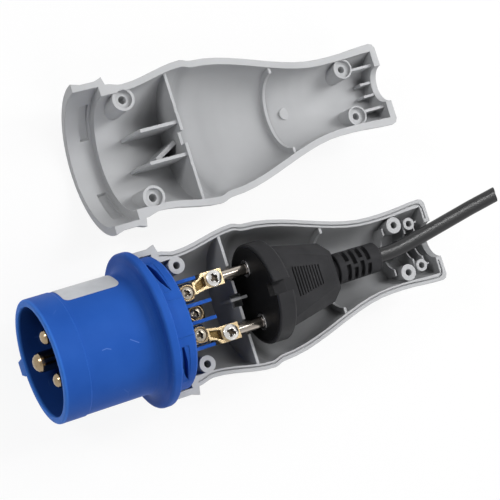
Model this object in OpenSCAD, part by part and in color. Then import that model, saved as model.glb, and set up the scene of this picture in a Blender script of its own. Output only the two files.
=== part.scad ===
// Plug adapter, opened: a round three-pin industrial plug front in a two-half housing that
// takes a moulded two-pin plug. The base half holds everything, the cover half lies beside it.
// X runs along the plug axis from nose to cord, Z is square to the parting face, millimetres.

/* [Plug front] */
// length of the shroud in front of the flange rim
shroud_len = 36; // [28:0.5:44]
// outer radius of the shroud behind its front band
shroud_r = 20.8; // [18:0.1:23]
// how far the front band stands proud of the shroud
band_rise = 0.25; // [0.1:0.05:0.6]
// length of the front band
band_len = 8.8; // [5:0.2:14]
// thickness of the shroud wall
shroud_wall = 2.2; // [1.6:0.1:3]
// radius of the flange
flange_r = 26.8; // [25.6:0.1:29]
// thickness of the flange
flange_t = 3.5; // [2.5:0.1:5]
// rounding of the flange's front edge
flange_round = 1.1; // [0.5:0.1:1.4]
// fillet where the shroud meets the flange
flange_fillet = 3.2; // [1:0.2:4.5]
// length of the rear body that sits in the housing collar
rear_len = 7.5; // [6.2:0.1:8]
// length of one bayonet slot across the rear body
slot_len = 14.5; // [8:0.5:16]
// width of a bayonet slot
slot_w = 2.6; // [1.4:0.1:3]
// depth of a bayonet slot at its middle
slot_depth = 2.9; // [1.5:0.1:4.5]
// width of the raised pad on top of the rear body
pad_w = 12.4; // [8:0.2:14]
// width of the key rib under the shroud
key_w = 6; // [3:0.2:7]
// height of the key rib
key_h = 3.9; // [1:0.1:4.6]
// height of the barrier fins above the parting face
fin_top = 5; // [2:0.2:8]
// thickness of a barrier fin
fin_t = 1.2; // [0.6:0.1:1.6]

/* [Contacts] */
// radius of the circle that the three contacts stand on
contact_circle = 8.4; // [7.6:0.1:9]
// radius of the line and neutral contacts
live_r = 2.5; // [2:0.1:3]
// radius of the earth contact
earth_r = 3.5; // [2.8:0.1:4]
// how far the live contacts end inside the shroud rim
live_inset = 1.4; // [1:0.2:6]
// how far the earth contact ends inside the shroud rim
earth_inset = 0.2; // [0:0.2:4]
// radius of the screw barrel on a live contact
barrel_r = 3.3; // [2.8:0.1:3.4]
// length of the live screw barrels
barrel_len = 10; // [8:0.5:12]
// length of the earth screw barrel
earth_barrel_len = 16; // [15.5:0.5:20]
// radius of the thread in the terminal screws
terminal_r = 1.5; // [1.1:0.05:1.8]
// radius of the terminal screw heads
terminal_head_r = 2.05; // [1.8:0.05:2.4]

/* [Links and two-pin plug] */
// distance between the two plug pins
pin_pitch = 19; // [18:0.1:20]
// radius of the plug pins
pin_r = 2; // [1.8:0.05:2.4]
// length of the plug pins in front of the plug face
pin_len = 18.6; // [16:0.2:20]
// distance of the plug face behind the flange front
face_x = 43.6; // [41.5:0.1:46]
// width of the link round a plug pin
link_w = 5.6; // [5:0.1:6.4]
// height of the link top above the parting face
link_top = 6.2; // [5.6:0.1:7]
// radius of the thread in the clamp screws
clamp_r = 1.9; // [1.5:0.05:2.1]
// radius of the clamp screw heads
clamp_head_r = 2.75; // [2.3:0.05:2.9]
// distance of the clamp screws behind the flange front
clamp_x = 28; // [27:0.1:29.5]
// radius of the round plug flange
plug_r = 17.8; // [16:0.1:18.5]
// thickness of the round plug flange
plug_flange_t = 6.8; // [5:0.2:9]
// length of the tapered plug body behind its flange
plug_body_len = 22.8; // [20:0.2:30]
// number of grip grooves on each side of the plug body
grip_count = 10; // [5:1:14]
// spacing of the grip grooves
grip_pitch = 1.1; // [0.8:0.05:1.4]
// length of the bend relief
boot_len = 19.6; // [14:0.2:22]
// radius of the bend relief
boot_r = 5.6; // [4.6:0.1:6]

/* [Cord] */
// width of the flat twin cord
cord_w = 5.4; // [4:0.1:6.4]
// height of the flat twin cord
cord_h = 3; // [2.4:0.1:3.6]

/* [Housing] */
// wall thickness of both halves
wall = 2.4; // [1.8:0.1:2.8]
// wall thickness of the collar round the rear body
seat_wall = 2; // [1.6:0.1:2.6]
// how far the collar edge lies inside the flange edge
collar_step = 0.4; // [0:0.1:1.2]
// depth of the hollow round the collar
collar_hollow = 0.9; // [0.4:0.1:1.4]
// distance of the sharp collar lip behind the flange front
lip_x = 13.6; // [12.5:0.1:15]
// outer radius at the waist
waist_r = 22.4; // [21.8:0.1:23.2]
// distance of the waist behind the flange front
waist_x = 20; // [18:0.5:23]
// how far the belly lies inside the flange edge
belly_drop = 1; // [0.6:0.1:2.8]
// distance of the belly behind the flange front
belly_x = 43; // [40:0.5:46]
// drop of the shoulder just behind the belly
shoulder = 1.1; // [0.2:0.1:1.6]
// outer radius at the neck
neck_r = 14.3; // [13.6:0.1:15]
// distance of the neck behind the flange front
neck_x = 95; // [92:0.5:99]
// outer radius at the tail
tail_r = 15.3; // [14.4:0.1:16.5]
// distance of the tail end behind the flange front
tail_x = 118.5; // [116:0.5:124]
// radius of the cord outlet in the end wall
outlet_r = 6.6; // [5:0.1:8]
// distance of the front wall behind the flange front
front_wall_x = 36.8; // [35.6:0.1:39]
// distance of the rear rib behind the flange front
rear_rib_x = 74.8; // [72:0.1:78]
// thickness of the inner walls and ribs
rib_t = 1; // [0.8:0.1:2]
// clear distance between the two halves as they lie
lay_gap = 6; // [3:0.5:40]

/* [Housing screws] */
// distance of the front bosses behind the flange front
front_boss_x = 19.4; // [18.6:0.1:22]
// distance of the front bosses from the plug axis
front_boss_y = 17.4; // [16.8:0.1:18.4]
// distance of the rear bosses behind the flange front
rear_boss_x = 103.7; // [100:0.1:105]
// distance of the rear bosses from the plug axis
rear_boss_y = 8.85; // [8.2:0.05:9.4]
// distance of the cord clamp bosses behind the flange front
cord_boss_x = 110; // [108.6:0.1:112]
// distance of the cord clamp bosses from the plug axis
cord_boss_y = 7.8; // [7.2:0.1:8.6]
// radius of the screw bosses
boss_r = 2.95; // [2.5:0.05:3.2]
// radius of the cord clamp bosses
cord_boss_r = 2.2; // [1.9:0.05:2.5]
// radius of the pilot holes
pilot_r = 1.25; // [1:0.05:1.5]

/* [Fits] */
// radial play of a part in its hole
play = 0.05; // [0.02:0.01:0.1]
// radial play of the rear body in the housing collar
seat_play = 0.3; // [0.2:0.05:0.5]
// room round a terminal screw head
head_play = 0.3; // [0.2:0.05:0.4]

/* [Hidden] */
$fn = 72;
band_r = shroud_r + band_rise;
bore_r = shroud_r - shroud_wall;
flange_front = -flange_round;
flange_rear = flange_t - flange_round;
flange_back = 0.7;
rim_in = 0.5;
rim_out = 0.9;
key_taper = 0.7;
key_end = 8;
fillet_r = min(flange_fillet, flange_r - flange_round - shroud_r);
floor_x = flange_front;
rear_x = flange_rear + rear_len;
rear_edge = 0.7;
collar_r = flange_r - collar_step;
collar_hollow_r = collar_r - collar_hollow;
collar_spare = 0.1;
collar_ramp = 3.2;
lip_ramp = 2.6;
lip_back = 0.7;
lip_drop = 1.9;
shoulder_len = 3.8;
neck_len = 5;
belly_r = flange_r - belly_drop;
tail_round = 2.2;
end_wall = 2.4;
rear_r = collar_hollow_r - seat_wall - seat_play - collar_spare;
pad_rise = 0.2;
slot_x = flange_rear + 1.8;
slot_angle = 42;
slot_floor = rear_r - slot_depth;
seat_x = rear_x + 1.8;
lug_depth = 1.3;
lug_w = 3.4;
groove_in = 1.25;
groove_w = 0.5;
groove_d = 0.7;
live_y = contact_circle * sin(60);
live_z = contact_circle * cos(60);
earth_z = -contact_circle;
barrel_x = rear_x + barrel_len;
earth_barrel_r = earth_r + 0.3;
earth_barrel_x = rear_x + earth_barrel_len;
terminal_x = rear_x + 7.1;
earth_terminal_x = rear_x + 12.7;
terminal_sink = 0.6;
terminal_head_h = 1.3;
collar_rise = 0.4;
collar_wall = 0.45;
wire_len = 8;
tongue_r = 1.4;
nose_flat = 0.15;
tongue_len = 7.4;
tongue_play = 0.1;
arm_drop = 2.4;
rail_w = 1;
channel_depth = 1.8;
channel_end = 0.8;
seat_rise = 0.2;
pin_y = pin_pitch / 2;
pin_tip_x = face_x - pin_len;
pin_ring_in = pin_r + 0.65;
pin_ring_r = pin_r + 1.05;
pin_ring_h = 0.45;
pin_ring_floor = 0.15;
clamp_head_h = 2;
link_x0 = barrel_x + 0.3;
link_x1 = clamp_x + clamp_head_r + 1.05;
link_step_x = pin_tip_x - 0.8;
link_under = 0.9;
fin_gap = 0.4;
fin_drop = 0.6;
fin_root = 1;
fin_in_y = live_y - barrel_r - fin_gap - fin_t / 2;
fin_out_y = live_y + barrel_r + fin_gap + fin_t / 2;
fin_in_x = rear_x + 15.8;
fin_out_x = link_step_x - 1.7;
plug_x = face_x + 0.3;
plug_rear_x = face_x + plug_flange_t;
body_x = plug_rear_x + plug_body_len;
boot_x = body_x + boot_len;
bridge_t = 2;
bridge_r = plug_r - 1.2;
clip_w = 4.4;
clip_z = 12;
grip_x = plug_rear_x - 1;
grip_bend_x = body_x - 2.6;
grip_z = 9.8;
grip_bend_z = 8.6;
grip_first = 5.1;
grip_groove_w = 0.5;
grip_groove_d = 0.5;
grip_half = 5.3;
grip_half_end = 3.5;
boot_neck_w = 2;
boot_neck_d = 1.4;
boot_ring = 2.7;
boot_end = 3.8;
boot_rows = 4;
boot_core = boot_r - 1.7;
boot_bridge = 1.2;
boot_side = 3.2;
pin_notch = 0.7;
base_wall_drop = 0.3;
cover_wall_drop = 2.4;
wall_notch_w = 4.6;
wall_notch_y = 0.1;
wall_notch_d = 6;
centre_front = 1.8;
centre_back = 1;
centre_root = 11;
centre_drop = 1;
centre_low = 3.6;
centre_gap = 1.2;
rear_rib_drop = 0.6;
saddle_drop = 1.5;
saddle_dip = outlet_r - 1.6;
rear_saddle_x = rear_boss_x - 4.6;
cord_saddles = [cord_boss_x - 2.4, cord_boss_x + 1.6];
cord_boss_drop = 0.5;
gusset_len = 1.2;
gusset_drop = 1;
front_pilot_d = 9.6;
rear_pilot_d = 6.8;
rear_pilot_r = pilot_r - 0.05;
cord_pilot_r = pilot_r - 0.15;
cover_boss_drop = 0.8;
front_boss_wall = 1.1;
rear_boss_wall = 0.7;
spigot_d = 2.2;
spigot_play = 0.15;
front_hole_r = pilot_r + 0.15;
rear_hole_r = pilot_r;
front_sink_r = pilot_r + 1.5;
rear_sink_r = pilot_r + 1.3;
front_sink_z = -8.4;
rear_sink_z = -6.2;
cover_fin_x = front_boss_x + 1.6;
cover_fin_slope = 1.8;
cover_fin_low = 11;
cover_fin_drop = 3.4;
cover_bar_t = 1;
cover_bar_drop = 2;
tail_fin_y = 2.3;
tail_fin_t = 0.9;
tail_fin_len = 4.4;
tail_fin_drop = 6.4;
brace_x = front_boss_x + 9.2;
brace_y = -5.2;
brace_len = 9.4;
brace_t = 1.6;
brace_turn = 28;
brace_top = -10;
cover_fin_y = 5.8;
cover_fin_t = 1.2;
rear_rib_h = 2.2;
saddle_t = 0.6;
eject_x = 82.5;
eject_r = 2.2;
eject_rise = 0.25;
cover_y = flange_r + collar_r + lay_gap;
steps = 8;

// points of an arc, angles in degrees
function arc(cx, cy, r, a, b, n = 5) =
    [for (i = [0 : n]) let (t = a + (b - a) * i / n) [cx + r * cos(t), cy + r * sin(t)]];
// smooth run between two stations of the housing outline, first point left out
function ease(t) = t * t * (3 - 2 * t);
function run(x0, r0, x1, r1, n = steps) =
    [for (i = [1 : n]) let (t = i / n) [r0 + (r1 - r0) * ease(t), x0 + (x1 - x0) * t]];
// outline from the waist to the tail, drawn in by a wall
function flow(d, x1, r1) = concat(
    run(waist_x, waist_r - d, belly_x, belly_r - d, 6),
    run(belly_x, belly_r - d, belly_x + shoulder_len, belly_r - shoulder - d, 3),
    run(belly_x + shoulder_len, belly_r - shoulder - d, neck_x, neck_r - d, 10),
    run(neck_x, neck_r - d, neck_x + neck_len, neck_r - d, 1),
    run(neck_x + neck_len, neck_r - d, x1, r1, 4));
// outline of a half in the parting face as radius and distance, drawn in by a wall
function outline(d = 0, x0 = flange_rear, x1 = tail_x) = concat(
    [[collar_r - d, x0], [collar_hollow_r - d, x0 + collar_ramp],
     [collar_hollow_r - d, lip_x - lip_ramp], [collar_r - d, lip_x],
     [collar_hollow_r - lip_drop - d, lip_x + lip_back]],
    run(lip_x + lip_back, collar_hollow_r - lip_drop - d, waist_x, waist_r - d, 4),
    flow(d, x1 - tail_round, tail_r - d),
    [[tail_r - 0.5 - d, x1 - 0.8], [tail_r - 1.9 - d, x1]]);
// outline of the room inside, which ends at the end wall
function room() = concat(
    run(seat_x - 0.1, waist_r - wall, waist_x, waist_r - wall, 1),
    flow(wall, tail_x - end_wall, tail_r - wall - 0.4));
// radius of the room between belly and neck
function room_r(x) = let (t = (x - belly_x - shoulder_len) / (neck_x - belly_x - shoulder_len))
    belly_r - shoulder - wall + (neck_r - belly_r + shoulder) * ease(t);

// solid of revolution about the plug axis from radius and distance points
module turned(points) {
    rotate([0, 90, 0]) rotate_extrude() polygon(points);
}

// cylinder along the plug axis
module rod(x0, x1, r, y = 0, z = 0) {
    translate([x0, y, z]) rotate([0, 90, 0]) cylinder(h = x1 - x0, r = r);
}

// upright cylinder
module post(x, y, z0, z1, r) {
    translate([x, y, z0]) cylinder(h = z1 - z0, r = r);
}

// box given by its corners
module box(a, b) {
    translate(a) cube(b - a);
}

// everything under the parting face
module lower() {
    box([-5, -40, -40], [tail_x + 5, 40, 0]);
}

// outer form of a half and the room in it
module half_form(d = 0) {
    pts = outline(d);
    intersection() {
        turned(concat([[0, flange_rear]], pts, [[0, tail_x]]));
        lower();
    }
}

module half_room() {
    pts = room();
    turned(concat([[0, seat_x - 0.5], [waist_r - wall, seat_x - 0.5]], pts,
        [[0, tail_x - end_wall]]));
    rod(flange_rear - 1, seat_x, rear_r + seat_play);
}

// shell of one half with its cord outlet
module half_shell() {
    difference() {
        half_form();
        half_room();
        rod(tail_x - 6, tail_x + 2, outlet_r);
    }
}

// things inside a half are kept within its wall
module within() {
    intersection() {
        half_form(wall * 0.4);
        children();
    }
}

// slab over the outline of a half, drawn in by some width
module rim_slab(d, depth) {
    a = outline(d, flange_rear, tail_x - d);
    translate([0, 0, -depth]) linear_extrude(height = depth * 2) polygon(concat(
        [for (p = a) [p[1], p[0]]],
        [for (i = [len(a) - 1 : -1 : 0]) [a[i][1], -a[i][0]]]));
}

// groove along the rim, round the end wall up to the cord outlet
module rim_groove() {
    difference() {
        rim_slab(groove_in, groove_d);
        rim_slab(groove_in + groove_w, groove_d + 1);
        box([-5, -40, -5], [lip_x + lip_back, 40, 5]);
        box([tail_x - 5, -outlet_r - 1.2, -5], [tail_x + 5, outlet_r + 1.2, 5]);
    }
}

// collar recess for one bayonet lug
module lug_recess(s) {
    intersection() {
        rod(seat_x - 1 - lug_w, seat_x - 1, rear_r + seat_play + lug_depth);
        rotate([s * slot_angle, 0, 0])
            box([0, -slot_len / 2, -rear_r - wall], [seat_x, slot_len / 2, -rear_r / 2]);
    }
}

// transverse wall between the contacts and the plug, with its notches
module front_wall(top) {
    within() difference() {
        box([front_wall_x, -40, -40], [front_wall_x + rib_t, 40, top]);
        for (s = [1, -1]) rod(front_wall_x - 1, front_wall_x + 4, pin_r + pin_notch, s * pin_y);
        box([front_wall_x - 1, wall_notch_y - wall_notch_w / 2, -wall_notch_d],
            [front_wall_x + 4, wall_notch_y + wall_notch_w / 2, 1]);
    }
}

// short upright rib through the notch of the front wall
module centre_rib() {
    within() {
        box([front_wall_x - centre_front, 0, -centre_root],
            [front_wall_x + rib_t + centre_back, rib_t, -centre_drop]);
        box([front_wall_x, 0, -centre_root], [face_x - centre_gap, rib_t, -centre_low]);
    }
}

// ring rib behind the plug body
module rear_rib() {
    within() difference() {
        box([rear_rib_x, -40, -40], [rear_rib_x + rib_t, 40, -rear_rib_drop]);
        rod(rear_rib_x - 1, rear_rib_x + 4, room_r(rear_rib_x) - rear_rib_h);
    }
}

// rib across the tail that dips under the cord
module saddle(x, half, r) {
    within() difference() {
        box([x, -half, -40], [x + saddle_t, half, -saddle_drop]);
        rod(x - 1, x + 2, r);
    }
}

module base_shell() {
    color([0.70, 0.70, 0.72]) difference() {
        union() {
            half_shell();
            front_wall(-base_wall_drop);
            centre_rib();
            rear_rib();
            within() for (s = [1, -1]) {
                post(front_boss_x, s * front_boss_y, -30, 0, boss_r);
                post(rear_boss_x, s * rear_boss_y, -30, 0, boss_r);
                post(cord_boss_x, s * cord_boss_y, -30, -cord_boss_drop, cord_boss_r);
                box([cord_boss_x, s * cord_boss_y - saddle_t / 2, -30],
                    [cord_boss_x + cord_boss_r + gusset_len, s * cord_boss_y + saddle_t / 2, -gusset_drop]);
            }
            saddle(rear_saddle_x, rear_boss_y, outlet_r);
            for (x = cord_saddles) saddle(x, cord_boss_y, saddle_dip);
        }
        rim_groove();
        for (s = [1, -1]) {
            lug_recess(s);
            post(front_boss_x, s * front_boss_y, -front_pilot_d, 1, pilot_r);
            post(rear_boss_x, s * rear_boss_y, -rear_pilot_d, 1, rear_pilot_r);
            post(cord_boss_x, s * cord_boss_y, -rear_pilot_d, 1, cord_pilot_r);
        }
    }
}

module cover_shell() {
    color([0.72, 0.72, 0.74]) translate([0, cover_y, 0]) difference() {
        union() {
            half_shell();
            front_wall(-cover_wall_drop);
            rear_rib();
            within() for (s = [1, -1]) {
                post(front_boss_x, s * front_boss_y, -30, -cover_boss_drop, boss_r + front_boss_wall);
                post(rear_boss_x, s * rear_boss_y, -30, -cover_boss_drop, boss_r + rear_boss_wall);
                translate([0, s * cover_fin_y + cover_fin_t / 2, 0]) rotate([90, 0, 0])
                    linear_extrude(height = cover_fin_t) polygon([[cover_fin_x, -40],
                        [cover_fin_x, -cover_fin_low], [cover_fin_x + cover_fin_slope, -cover_fin_drop],
                        [front_wall_x + rib_t / 2, -cover_fin_drop], [front_wall_x + rib_t / 2, -40]]);
                box([rear_boss_x, s * cord_boss_y - cover_bar_t / 2, -30],
                    [tail_x - end_wall / 2, s * cord_boss_y + cover_bar_t / 2, -cover_bar_drop]);
                box([tail_x - end_wall - tail_fin_len, s * tail_fin_y - tail_fin_t / 2, -30],
                    [tail_x - end_wall / 2, s * tail_fin_y + tail_fin_t / 2, -tail_fin_drop]);
            }
            within() translate([brace_x, brace_y, brace_top]) rotate([0, 0, brace_turn])
                mirror([0, 0, 1]) cube([brace_len, brace_t, 30]);
            within() post(eject_x, 0, -30, eject_rise - room_r(eject_x), eject_r);
        }
        for (s = [1, -1]) {
            lug_recess(s);
            post(front_boss_x, s * front_boss_y, -spigot_d, 1, boss_r + spigot_play);
            post(front_boss_x, s * front_boss_y, -30, 1, front_hole_r);
            post(front_boss_x, s * front_boss_y, -40, front_sink_z, front_sink_r);
            post(rear_boss_x, s * rear_boss_y, -spigot_d, 1, boss_r + spigot_play);
            post(rear_boss_x, s * rear_boss_y, -30, 1, rear_hole_r);
            post(rear_boss_x, s * rear_boss_y, -40, rear_sink_z, rear_sink_r);
        }
    }
}

// outline of the plug front as radius and distance points
function connector_points() = concat(
    [[0, floor_x], [bore_r, floor_x]],
    arc(bore_r + rim_in, rim_in - shroud_len, rim_in, 180, 270, 3),
    arc(band_r - rim_out, rim_out - shroud_len, rim_out, 270, 360, 4),
    [[band_r, band_len - shroud_len], [shroud_r, band_len + band_rise - shroud_len]],
    arc(shroud_r + fillet_r, flange_front - fillet_r, fillet_r, 180, 90, 5),
    arc(flange_r - flange_round, 0, flange_round, 270, 360, 4),
    arc(flange_r - flange_back, flange_rear - flange_back, flange_back, 0, 90, 3),
    [[rear_r, flange_rear], [rear_r, rear_x - rear_edge], [rear_r - rear_edge, rear_x],
     [0, rear_x]]);

// barrier fin behind the rear body
module fin(y, x1) {
    box([rear_x - fin_root, y - fin_t / 2, -fin_drop], [x1, y + fin_t / 2, fin_top]);
}

// key rib under the shroud with sloping sides
module key_rib() {
    translate([-shroud_len, 0, 0]) rotate([90, 0, 90])
        linear_extrude(height = shroud_len - fillet_r - key_end) polygon([
            [-key_w / 2, rim_in - shroud_r], [-key_w / 2, -band_r],
            [key_taper - key_w / 2, -band_r - key_h], [key_w / 2 - key_taper, -band_r - key_h],
            [key_w / 2, -band_r], [key_w / 2, rim_in - shroud_r]]);
}

module connector_body() {
    color([0.10, 0.28, 0.72]) difference() {
        union() {
            turned(connector_points());
            key_rib();
            intersection() {
                rod(flange_rear - 1, rear_x - rear_edge, rear_r + pad_rise);
                box([0, -pad_w / 2, rear_r / 2], [rear_x, pad_w / 2, rear_r + 1]);
            }
            for (s = [1, -1]) {
                fin(s * fin_in_y, fin_in_x);
                fin(s * fin_out_y, fin_out_x);
            }
        }
        for (s = [1, -1]) rod(floor_x - 1, rear_x + 1, live_r + seat_rise + play, s * live_y, live_z);
        rod(floor_x - 1, rear_x + 1, earth_r + seat_rise + play, 0, earth_z);
        for (a = [slot_angle, -slot_angle, 180 - slot_angle, slot_angle - 180]) rotate([a, 0, 0])
            box([slot_x, -slot_len / 2, slot_floor], [slot_x + slot_w, slot_len / 2, rear_r + 1]);
    }
}

// contact with a domed nose, a barrel behind the plug front and a collar round its screw
module contact(r, br, tip, tail, y, z, sx) {
    color([0.85, 0.68, 0.38]) difference() {
        union() {
            translate([0, y, z]) turned(concat([[0, tip]],
                arc(r * nose_flat, tip + r * (1 - nose_flat), r * (1 - nose_flat), 270, 360),
                [[r, floor_x], [r + seat_rise, floor_x], [r + seat_rise, rear_x], [br, rear_x],
                 [br, tail - 0.3], [br - 0.3, tail], [0, tail]]));
            post(sx, y, z, z + br + collar_rise, terminal_head_r + head_play + collar_wall);
        }
        rod(tail - wire_len, tail + 1, tongue_r + tongue_play, y, z);
        post(sx, y, z, z + br + 1, terminal_r + play);
        post(sx, y, z + br - terminal_sink, z + br + 1, terminal_head_r + head_play);
    }
}

module contact_line() {
    contact(live_r, barrel_r, live_inset - shroud_len, barrel_x, live_y, live_z, terminal_x);
}

module contact_neutral() {
    contact(live_r, barrel_r, live_inset - shroud_len, barrel_x, -live_y, live_z, terminal_x);
}

module contact_earth() {
    contact(earth_r, earth_barrel_r, earth_inset - shroud_len, earth_barrel_x, 0, earth_z,
        earth_terminal_x);
}

// screw that hangs under the origin of its head seat, with a crossed recess
module screw(thread_r, head_r, head_h, length) {
    difference() {
        rotate_extrude() polygon(concat([[0, -length], [thread_r - 0.25, -length],
            [thread_r, -length + 0.25], [thread_r, 0.05], [head_r, 0.05], [head_r, head_h * 0.6]],
            arc(head_r - head_h * 0.4, head_h * 0.6, head_h * 0.4, 0, 90, 4), [[0, head_h]]));
        for (a = [0, 90]) rotate([0, 0, a + 20])
            translate([-head_r * 0.66, -0.35, head_h - 0.8]) cube([head_r * 1.32, 0.7, 2]);
    }
}

module terminal_screw(x, y, z, br) {
    seat = br - terminal_sink;
    color([0.80, 0.78, 0.74]) translate([x, y, z + seat])
        screw(terminal_r, terminal_head_r, terminal_head_h, seat - tongue_r - play);
}

module terminal_screw_line() {
    terminal_screw(terminal_x, live_y, live_z, barrel_r);
}

module terminal_screw_neutral() {
    terminal_screw(terminal_x, -live_y, live_z, barrel_r);
}

module terminal_screw_earth() {
    terminal_screw(earth_terminal_x, 0, earth_z, earth_barrel_r);
}

// link from a contact barrel to a plug pin, with a channel along its top
module link(s) {
    in0 = live_y - tongue_r;
    out0 = live_y + barrel_r - rail_w / 2;
    in1 = pin_y - link_w / 2;
    out1 = pin_y + link_w / 2;
    color([0.80, 0.62, 0.32]) mirror([0, s < 0 ? 1 : 0, 0]) difference() {
        union() {
            rod(barrel_x - tongue_len, link_x0 + 1, tongue_r, live_y, live_z);
            translate([0, 0, live_z - arm_drop])
                linear_extrude(height = link_top - live_z + arm_drop) polygon([[link_x0, in0],
                    [link_step_x, in1], [link_step_x + 1, in1], [link_step_x + 1, out1],
                    [link_step_x, out1], [fin_out_x + fin_gap, live_y + barrel_r], [link_x0, out0]]);
            box([link_step_x, in1, -pin_r - link_under], [link_x1, out1, link_top]);
        }
        rod(pin_tip_x - 0.4, link_x1 + 1, pin_r + play, pin_y);
        post(clamp_x, pin_y, 0, link_top + 1, clamp_r + play);
        translate([0, 0, link_top - channel_depth]) linear_extrude(height = channel_depth + 1)
            polygon([[link_x0 + channel_end, in0 + rail_w],
                [link_step_x + channel_end, in1 + rail_w], [link_step_x + channel_end, out1 - rail_w],
                [link_x0 + channel_end, out0 - rail_w]]);
    }
}

module link_line() {
    link(1);
}

module link_neutral() {
    link(-1);
}

module clamp_screw(s) {
    color([0.86, 0.85, 0.83]) translate([clamp_x, s * pin_y, link_top])
        screw(clamp_r, clamp_head_r, clamp_head_h, link_top - pin_r - play);
}

module clamp_screw_line() {
    clamp_screw(1);
}

module clamp_screw_neutral() {
    clamp_screw(-1);
}

// plug pin with a thin ring round its foot
module plug_pin(s) {
    color([0.78, 0.77, 0.75]) translate([0, s * pin_y, 0]) turned(concat([[0, pin_tip_x]],
        arc(pin_r * 0.4, pin_tip_x + pin_r * 0.6, pin_r * 0.6, 270, 360, 4),
        [[pin_r, face_x - pin_ring_floor], [pin_ring_in, face_x - pin_ring_floor],
         [pin_ring_in, face_x - pin_ring_h], [pin_ring_r, face_x - pin_ring_h],
         [pin_ring_r, face_x], [pin_r, face_x], [pin_r, plug_rear_x], [0, plug_rear_x]]));
}

module plug_pin_line() {
    plug_pin(1);
}

module plug_pin_neutral() {
    plug_pin(-1);
}

// notches in the plug flange for the side clips of a socket
module clip_notches() {
    for (a = [0, 180]) rotate([a, 0, 0])
        box([face_x - 1, -clip_w / 2, clip_z], [plug_rear_x + 0.01, clip_w / 2, plug_r + 1]);
}

module plug_bridge() {
    color([0.04, 0.04, 0.045]) difference() {
        rod(face_x, face_x + bridge_t, bridge_r);
        for (s = [1, -1]) rod(face_x - 1, face_x + bridge_t + 1, pin_r + play, s * pin_y);
        clip_notches();
    }
}

// tapered plug body with bevelled long edges
module plug_grip() {
    intersection() {
        translate([0, 0, -20]) linear_extrude(height = 40)
            polygon([[grip_x, -14.6], [grip_bend_x, -10.6], [body_x, -6],
                [body_x, 6], [grip_bend_x, 10.6], [grip_x, 14.6]]);
        rotate([90, 0, 0]) translate([0, 0, -20]) linear_extrude(height = 40)
            polygon([[grip_x, -grip_z], [grip_bend_x, -grip_bend_z], [body_x, -6],
                [body_x, 6], [grip_bend_x, grip_bend_z], [grip_x, grip_z]]);
        translate([grip_x, 0, 0]) rotate([0, 90, 0])
            cylinder(h = body_x - grip_x, r1 = 22.1, r2 = 13, $fn = 4);
    }
}

// narrowing row of grooves on both flat sides of the plug body
module grip_grooves() {
    for (i = [0 : grip_count - 1], a = [0, 180]) {
        x = plug_rear_x + grip_first + i * grip_pitch;
        half = grip_half + (grip_half_end - grip_half) * i / (grip_count - 1);
        top = grip_z + (grip_bend_z - grip_z) * (x - grip_x) / (grip_bend_x - grip_x);
        rotate([a, 0, 0]) box([x, -half, top - grip_groove_d], [x + grip_groove_w, half, top + 2]);
    }
}

// one row of slots round the bend relief, with bridges left standing
module boot_row(x, w, shift) {
    difference() {
        rod(x, x + w, boot_r + 1);
        rod(x - 1, x + w + 1, boot_core);
        box([x - 1, -boot_r - 2, -boot_side / 2], [x + w + 1, boot_r + 2, boot_side / 2]);
        box([x - 1, shift - boot_bridge / 2, -boot_r - 2],
            [x + w + 1, shift + boot_bridge / 2, boot_r + 2]);
    }
}

// bend relief with rows of slots
module boot() {
    pitch = (boot_len - boot_neck_w - boot_ring - boot_end) / boot_rows;
    difference() {
        turned([[0, body_x - 0.5], [boot_r - boot_neck_d, body_x - 0.5],
            [boot_r - boot_neck_d, body_x + boot_neck_w], [boot_r - 0.3, body_x + boot_neck_w],
            [boot_r, body_x + boot_neck_w + 0.3], [boot_r - 0.2, boot_x - 0.6],
            [boot_r - 0.8, boot_x], [0, boot_x]]);
        for (i = [0 : boot_rows - 1])
            boot_row(body_x + boot_neck_w + boot_ring + i * pitch, pitch * 0.6, i % 2 == 0 ? 0.8 : -0.8);
    }
}

module plug_body() {
    color([0.07, 0.07, 0.075]) difference() {
        union() {
            difference() {
                turned([[0, plug_x], [plug_r - 0.4, plug_x], [plug_r, plug_x + 0.4],
                    [plug_r, plug_rear_x - 0.8], [plug_r - 0.8, plug_rear_x], [0, plug_rear_x]]);
                clip_notches();
            }
            plug_grip();
            boot();
        }
        rod(plug_x - 1, face_x + bridge_t, bridge_r + play);
        for (s = [1, -1]) rod(plug_x, plug_rear_x, pin_r + play, s * pin_y);
        grip_grooves();
    }
}

// route of the cord from the bend relief over the outlet to its cut end
cord_route = [[boot_x, 0, 0], [98, 0, 0], [101, 0.2, 0], [104, 0.6, 0], [107, 1.1, 0.1],
    [110, 1.7, 0.3], [113, 2.3, 0.5], [116, 2.9, 0.7], [119, 3.5, 0.9], [123, 4.3, 1.1],
    [127, 5.1, 1.3], [131, 5.9, 1.5], [135, 6.7, 1.7], [139, 7.4, 1.9], [143, 8.1, 2.1], [147, 8.8, 2.2]];

module cord() {
    n = len(cord_route);
    sides = 12;
    ring = [for (k = [0 : sides - 1]) let (a = 360 * k / sides + 15)
        [cord_w / 2 * cos(a), cord_h / 2 * sin(a)]];
    heading = [for (i = [0 : n - 1]) let (d = i == 0 ? [1, 0, 0] :
        cord_route[min(i + 1, n - 1)] - cord_route[i - 1]) d / norm(d)];
    points = [for (i = [0 : n - 1], k = [0 : sides - 1])
        let (side = [-heading[i].y, heading[i].x, 0] / norm([heading[i].x, heading[i].y, 0]),
             up = cross(heading[i], side))
        cord_route[i] + side * ring[k].x + up * ring[k].y];
    faces = concat([[for (k = [0 : sides - 1]) k]],
        [for (i = [0 : n - 2], k = [0 : sides - 1]) let (m = (k + 1) % sides)
            [i * sides + k, (i + 1) * sides + k, (i + 1) * sides + m, i * sides + m]],
        [[for (k = [sides - 1 : -1 : 0]) (n - 1) * sides + k]]);
    color([0.05, 0.05, 0.055]) polyhedron(points, faces);
}

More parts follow.
